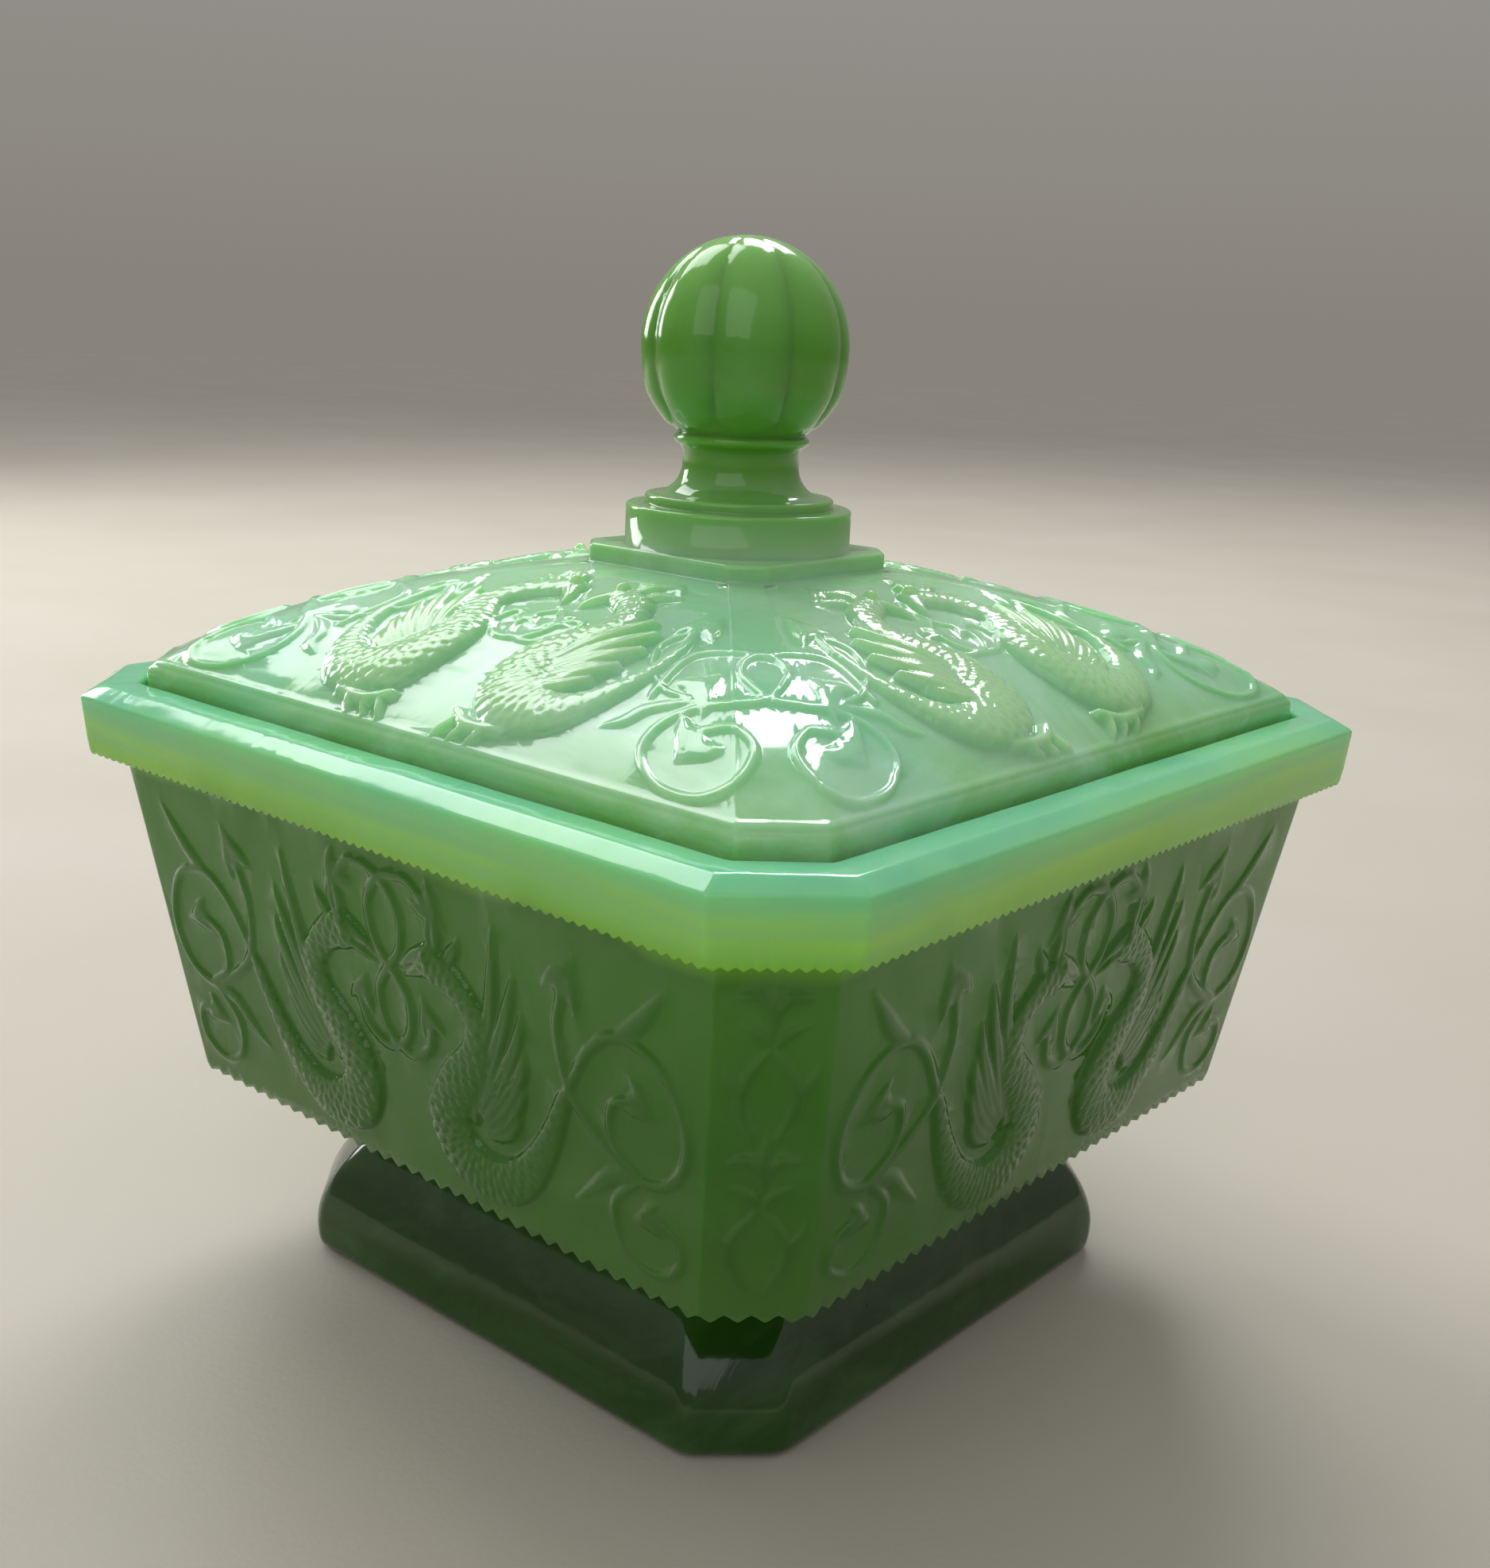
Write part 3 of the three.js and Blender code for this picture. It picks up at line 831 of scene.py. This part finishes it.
def vertex_array(mesh, kind):
    """Every vertex's position ("co") or smooth normal ("normal")."""
    values = np.empty(3 * len(mesh.vertices), np.float32)
    if kind == "normal":
        mesh.vertex_normals.foreach_get("vector", values)
    else:
        mesh.vertices.foreach_get("co", values)
    return values.reshape(-1, 3)


def place(name, points, heights, drops, ends):
    """A piece of the dish: the full grid, thinned where it is smooth, shaded with the full grid's normals.

    The normals are taken before the teeth are cut, so the face above each tooth stays evenly lit.
    """
    rows, columns = points.shape[:2]
    flat = np.vstack([points.reshape(-1, 3), ends]) * METRES_PER_MM
    full = mesh_from(name + "_full", flat, skin_faces(rows, columns))
    full_normals = vertex_array(full, "normal")
    flat[:-2, 2] -= drops.ravel() * METRES_PER_MM
    full.vertices.foreach_set("co", flat.astype(np.float32).ravel())
    full.update()
    full_points = vertex_array(full, "co")
    full_heights = np.concatenate([heights.ravel(), [0, 0]])
    piece = bpy.data.objects.new(name, full)
    bpy.context.scene.collection.objects.link(piece)
    thin = piece.modifiers.new("thin", "DECIMATE")
    thin.ratio = min(1, triangle_limit / len(full.polygons))
    evaluated = piece.evaluated_get(bpy.context.evaluated_depsgraph_get())
    mesh = bpy.data.meshes.new_from_object(evaluated)
    piece.modifiers.clear()
    piece.data = mesh
    bpy.data.meshes.remove(full)
    mesh.name = name
    tree = KDTree(len(full_points))
    for i, point in enumerate(full_points):
        tree.insert(point, i)
    tree.balance()
    nearest = [tree.find(vertex.co)[1] for vertex in mesh.vertices]
    mesh.polygons.foreach_set("use_smooth", np.ones(len(mesh.polygons), bool))
    mesh.normals_split_custom_set_from_vertices(full_normals[nearest].tolist())
    relief = mesh.attributes.new("relief", "FLOAT", "POINT")
    relief.data.foreach_set("value", full_heights[nearest].astype(np.float32))
    return piece


# ---------------- materials
class Nodes:
    """Builds one node material step by step."""

    def __init__(self, name):
        self.material = bpy.data.materials.new(name)
        self.material.use_nodes = True
        self.tree = self.material.node_tree
        self.tree.nodes.clear()
        self.output = self.tree.nodes.new("ShaderNodeOutputMaterial")
        self.shader = self.tree.nodes.new("ShaderNodeBsdfPrincipled")
        self.link(self.shader.outputs[0], self.output.inputs["Surface"])
        self.position = self.tree.nodes.new("ShaderNodeTexCoord").outputs["Object"]

    def link(self, source, target):
        self.tree.links.new(source, target)

    def ramp(self, source, stops):
        node = self.tree.nodes.new("ShaderNodeValToRGB")
        elements = node.color_ramp.elements
        while len(elements) < len(stops):
            elements.new(0.5)
        for element, (position, code) in zip(elements, stops):
            element.position = position
            element.color = srgb(code)
        self.link(source, node.inputs["Fac"])
        return node.outputs["Color"]

    def map_range(self, source, low, high, to_low=0, to_high=1):
        node = self.tree.nodes.new("ShaderNodeMapRange")
        for socket, value in zip(("From Min", "From Max", "To Min", "To Max"), (low, high, to_low, to_high)):
            node.inputs[socket].default_value = value
        self.link(source, node.inputs["Value"])
        return node.outputs["Result"]

    def separate(self, source, axis):
        node = self.tree.nodes.new("ShaderNodeSeparateXYZ")
        self.link(source, node.inputs[0])
        return node.outputs[axis]

    def mapped(self, scale, turn):
        node = self.tree.nodes.new("ShaderNodeMapping")
        node.inputs["Scale"].default_value = scale
        node.inputs["Rotation"].default_value = turn
        self.link(self.position, node.inputs["Vector"])
        return node.outputs["Vector"]

    def noise(self, scale, detail=3, distortion=0, stretch=(1, 1, 1), turn=(0, 0, 0), roughness=0.5):
        node = self.tree.nodes.new("ShaderNodeTexNoise")
        node.inputs["Scale"].default_value = scale
        node.inputs["Detail"].default_value = detail
        node.inputs["Roughness"].default_value = roughness
        node.inputs["Distortion"].default_value = distortion
        self.link(self.mapped(stretch, turn), node.inputs["Vector"])
        return node.outputs["Fac"]

    def tint(self, factor, colour, code):
        """A colour mixed with a hex code's colour."""
        node = self.tree.nodes.new("ShaderNodeMix")
        node.data_type = "RGBA"
        self.link(factor, node.inputs["Factor"])
        self.link(colour, node.inputs[6])
        node.inputs[7].default_value = srgb(code)
        return node.outputs[2]

    def math(self, operation, a, b):
        node = self.tree.nodes.new("ShaderNodeMath")
        node.operation = operation
        for socket, value in zip(node.inputs, (a, b)):
            if isinstance(value, (int, float)):
                socket.default_value = value
            else:
                self.link(value, socket)
        return node.outputs[0]

    def attribute(self, name):
        node = self.tree.nodes.new("ShaderNodeAttribute")
        node.attribute_name = name
        return node.outputs["Fac"]

    def bump(self, height, distance, after=None):
        node = self.tree.nodes.new("ShaderNodeBump")
        node.inputs["Distance"].default_value = distance
        self.link(height, node.inputs["Height"])
        if after is not None:
            self.link(after, node.inputs["Normal"])
        return node.outputs["Normal"]


def srgb(code):
    """Linear colour and full alpha from a six-digit hex code."""
    values = [int(code[i : i + 2], 16) / 255 for i in (0, 2, 4)]
    return (*(v / 12.92 if v <= 0.04045 else ((v + 0.055) / 1.055) ** 2.4 for v in values), 1)


def glass_finish(nodes, depth):
    """What both pieces share: light scattered to a depth under the skin, smears, waves and chill marks."""
    shader = nodes.shader
    shader.subsurface_method = "RANDOM_WALK"
    shader.inputs["Subsurface Weight"].default_value = 0.7
    shader.inputs["Subsurface Radius"].default_value = (0.5, 1.0, 0.3)
    shader.inputs["Subsurface Scale"].default_value = depth
    shader.inputs["IOR"].default_value = 1.52
    drawn = (0.3, 0.2, 0.7)
    smears = nodes.noise(70, detail=5, distortion=0.5, stretch=(1, 0.22, 0.7), turn=drawn)
    roughness = nodes.map_range(smears, 0.36, 0.68, to_low=0.045, to_high=0.15)
    nodes.link(roughness, shader.inputs["Roughness"])
    chill = nodes.noise(260, detail=3, distortion=0.4, stretch=(1, 0.1, 0.4), turn=drawn)
    flow = nodes.noise(46, detail=2, distortion=0.8, stretch=(1, 1, 0.6))
    normal = nodes.bump(flow, 0.0003)
    normal = nodes.bump(chill, 0.00008, after=normal)
    nodes.link(normal, shader.inputs["Normal"])


def milky_swirls(nodes, colour, pale, amount):
    """Streaks of paler glass folded into the melt."""
    streaks = nodes.noise(17, detail=6, distortion=2.4, stretch=(1, 1, 1.6), roughness=0.62)
    factor = nodes.math("MULTIPLY", nodes.map_range(streaks, 0.46, 0.72), amount)
    return nodes.tint(factor, colour, pale)


def specks(nodes, colour):
    """A few dark grains that were trapped in the glass."""
    node = nodes.tree.nodes.new("ShaderNodeTexVoronoi")
    node.inputs["Scale"].default_value = 62
    nodes.link(nodes.position, node.inputs["Vector"])
    grain = nodes.map_range(node.outputs["Distance"], 0.016, 0.026, to_low=1, to_high=0)
    rare = nodes.map_range(nodes.noise(31, detail=0), 0.60, 0.62)
    return nodes.tint(nodes.math("MULTIPLY", grain, rare), colour, "20281a")


def bowl_glass():
    """Jade by height: painted shade on the foot, a painted floor reflection low on the wall, moss up the
    wall, a painted glow on the rim's side, and a teal rim top, partly its own tint and partly a painted
    sheen.
    """
    nodes = Nodes("jade_bowl")
    height = nodes.separate(nodes.position, "Z")
    ripple = nodes.noise(24, detail=3, distortion=1.0)
    wavy = nodes.math("ADD", height, nodes.map_range(ripple, 0.3, 0.7, to_low=-0.0012, to_high=0.0012))
    level = nodes.map_range(wavy, 0, bowl_box[1].z)
    colour = nodes.ramp(level, [
        # Painted shade on the foot and the neck, which lie in the shadow under the bowl.
        (0.0, "1e4e0c"),
        (0.14, "183f08"),
        # A painted pale reflection of the floor, lighter and greyer low on the wall.
        (0.33, "467822"),
        (0.6, "36760f"),
        (0.86, "428614"),
        # A painted yellow-green glow where light comes through the rim's side.
        (0.893, "86ca32"),
        (0.935, "a6e25c"),
        # Teal on the rim's top, partly the glass's own tint and partly a painted sheen.
        (0.975, "94e298"),
        (1.0, "7cd0a4"),
    ])
    streaks = nodes.noise(13, detail=4, distortion=0.5, stretch=(0.7, 0.7, 14))
    on_rim = nodes.map_range(level, 0.88, 0.93)
    teal = nodes.math("MULTIPLY", nodes.map_range(streaks, 0.44, 0.66), on_rim)
    colour = nodes.tint(nodes.math("MULTIPLY", teal, 0.5), colour, "74cc9c")
    colour = milky_swirls(nodes, colour, "86bc78", 0.12)
    relief = nodes.map_range(nodes.attribute("relief"), 0.05, 0.4)
    colour = nodes.tint(nodes.math("MULTIPLY", relief, 0.5), colour, "2c6210")
    colour = specks(nodes, colour)
    nodes.link(colour, nodes.shader.inputs["Base Color"])
    glass_finish(nodes, 0.0035)
    return nodes.material


def lid_glass():
    """Paler, bluer jade on the dome, lighter towards its top partly by painted light from above, yellower on
    its raised birds, deep green in the finial, with painted shade in the ball's grooves.
    """
    nodes = Nodes("jade_lid")
    height = nodes.separate(nodes.position, "Z")
    ripple = nodes.noise(20, detail=3, distortion=1.0)
    wavy = nodes.math("ADD", height, nodes.map_range(ripple, 0.3, 0.7, to_low=-0.002, to_high=0.002))
    level = nodes.map_range(wavy, rim.top * METRES_PER_MM, finial_top * METRES_PER_MM)
    # Lighter up the dome from the skirt, partly the glass's own pale tint and partly painted light from
    # above; deeper green in the finial.
    colour = nodes.ramp(level, [
        (0.0, "84c46c"),
        (0.03, "8ecb86"),
        (0.12, "9bd8a6"),
        (0.28, "a4dba8"),
        (0.36, "8cc07c"),
        (0.5, "5c9a26"),
        (0.75, "569820"),
        (1.0, "84c65c"),
    ])
    on_dome = nodes.map_range(level, 0.3, 0.38, to_low=1, to_high=0.12)
    cloud = nodes.noise(11, detail=3, distortion=1.2, stretch=(1, 1, 0.6))
    patches = nodes.map_range(cloud, 0.45, 0.62, to_high=0.4)
    colour = nodes.tint(nodes.math("MULTIPLY", patches, on_dome), colour, "86d6b4")
    colour = milky_swirls(nodes, colour, "cdf0da", nodes.math("MULTIPLY", on_dome, 0.6))
    relief = nodes.map_range(nodes.attribute("relief"), 0.5, 1.9)
    colour = nodes.tint(nodes.math("MULTIPLY", relief, 0.45), colour, "b6dc98")
    # Painted shade: the ball's grooves darkened by their depth.
    groove = nodes.map_range(nodes.attribute("relief"), -0.05, -0.7)
    colour = nodes.tint(nodes.math("MULTIPLY", groove, 0.25), colour, "2f6a12")
    colour = specks(nodes, colour)
    nodes.link(colour, nodes.shader.inputs["Base Color"])
    glass_finish(nodes, 0.0055)
    return nodes.material


def table_material():
    """A pale matt table top with a fine grain."""
    nodes = Nodes("pale_table")
    tone = nodes.noise(9, detail=4)
    colour = nodes.ramp(tone, [(0.3, "bfb8aa"), (0.7, "c4beb1")])
    nodes.link(colour, nodes.shader.inputs["Base Color"])
    nodes.shader.inputs["Roughness"].default_value = 0.55
    nodes.link(nodes.bump(nodes.noise(900, detail=2), 0.00005), nodes.shader.inputs["Normal"])
    return nodes.material


# ---------------- stage, light and camera
def table():
    """A wide round floor under the dish."""
    floor_radius = 4
    sides = 96
    below_foot = 0.0001
    turns = 2 * math.pi * np.arange(sides) / sides
    ring = [(floor_radius * math.cos(turn), floor_radius * math.sin(turn), 0) for turn in turns]
    mesh = bpy.data.meshes.new("table")
    mesh.from_pydata(ring, [], [list(range(sides))])
    mesh.materials.append(table_material())
    floor = bpy.data.objects.new("table", mesh)
    floor.location.z = -below_foot
    bpy.context.scene.collection.objects.link(floor)


def aim(thing, place_at, target, roll=0):
    """Puts a light or camera at a place, looking at a target, with its level line rolled by an angle."""
    back = (place_at - target).normalized()
    right = Vector((-back.y, back.x, 0)).normalized()
    up = back.cross(right)
    rolled_right = right * math.cos(roll) + up * math.sin(roll)
    rolled_up = up * math.cos(roll) - right * math.sin(roll)
    turn = Matrix((rolled_right, rolled_up, back)).transposed().to_4x4()
    thing.matrix_world = Matrix.Translation(place_at) @ turn


def softbox(name, direction, distance, size, power, tint=(1, 1, 1)):
    """A rectangular soft light that looks at the middle of the dish."""
    data = bpy.data.lights.new(name, "AREA")
    data.shape = "RECTANGLE"
    data.size, data.size_y = size
    data.energy = power
    data.color = tint
    light = bpy.data.objects.new(name, data)
    light.visible_camera = False
    bpy.context.scene.collection.objects.link(light)
    middle = (cad_low + cad_high) / 2
    aim(light, middle + Vector(direction).normalized() * distance, middle)


def lights():
    """Distances and sizes in metres, powers in watts."""
    cool = (0.96, 0.98, 1)
    softbox("window", direction=(-0.63, 0.15, 0.72), distance=1.1, size=(0.5, 0.62), power=4.4, tint=cool)
    softbox("behind", direction=(-0.5, 0.8, 1.0), distance=1.5, size=(0.6, 0.5), power=9)
    softbox("left", direction=(-1.0, 0.0, 0.3), distance=1.2, size=(0.35, 0.5), power=3.5)
    softbox("front", direction=(0.35, -1.0, 0.75), distance=1.8, size=(1.6, 1.6), power=6)
    bpy.context.scene.world = studio_air()
    bpy.context.scene.view_settings.view_transform = "Standard"


def studio_air():
    """Soft light from all round: brightest overhead, and at the horizon as bright as the far floor."""
    world = bpy.data.worlds.new("studio")
    world.use_nodes = True
    tree = world.node_tree
    direction = tree.nodes.new("ShaderNodeTexCoord").outputs["Generated"]
    split = tree.nodes.new("ShaderNodeSeparateXYZ")
    tree.links.new(direction, split.inputs[0])
    ramp = tree.nodes.new("ShaderNodeValToRGB")
    horizon, overhead = ramp.color_ramp.elements
    horizon.position = 0.0
    horizon.color = (0.246, 0.23, 0.202, 1)
    overhead.position = 0.75
    overhead.color = (0.46, 0.46, 0.46, 1)
    tree.links.new(split.outputs["Z"], ramp.inputs["Fac"])
    tree.links.new(ramp.outputs["Color"], tree.nodes["Background"].inputs["Color"])
    return world


def camera():
    """The photographer's place: a little above the near corner, turned slightly clockwise.

    Its distance and target are in half widths of the rim.
    """
    unit = rim_half * METRES_PER_MM
    azimuth = math.radians(40.32)
    elevation = math.radians(14.645)
    roll = math.radians(2.6)
    distance = 3.808 * unit
    target = Vector((0.0293, 0.0249, 1.0429)) * unit
    level = math.cos(elevation)
    back = Vector((math.sin(azimuth) * level, -math.cos(azimuth) * level, math.sin(elevation)))
    data = bpy.data.cameras.new("camera")
    data.sensor_fit = "HORIZONTAL"
    data.sensor_width = 36
    data.lens = 43.42
    data.clip_start = 0.01
    data.clip_end = 50
    seen_from = bpy.data.objects.new("camera", data)
    bpy.context.scene.collection.objects.link(seen_from)
    aim(seen_from, target + back * distance, target, roll)
    bpy.context.scene.camera = seen_from


def dish():
    """Both pieces, each standing for its CAD node and moving with it."""
    made = (
        ("bowl", bowl_grid(), (recess.ceiling, inside.floor), bowl_glass()),
        ("lid", lid_grid(), (dome.top - lid.thickness, finial_top), lid_glass()),
    )
    for name, (points, heights, drops), ends, glass in made:
        piece = place("glass_" + name, points, heights, drops, np.array([(0, 0, z) for z in ends], float))
        piece.data.materials.append(glass)
        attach(piece, name)
        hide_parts(name)


dish()
table()
lights()
camera()
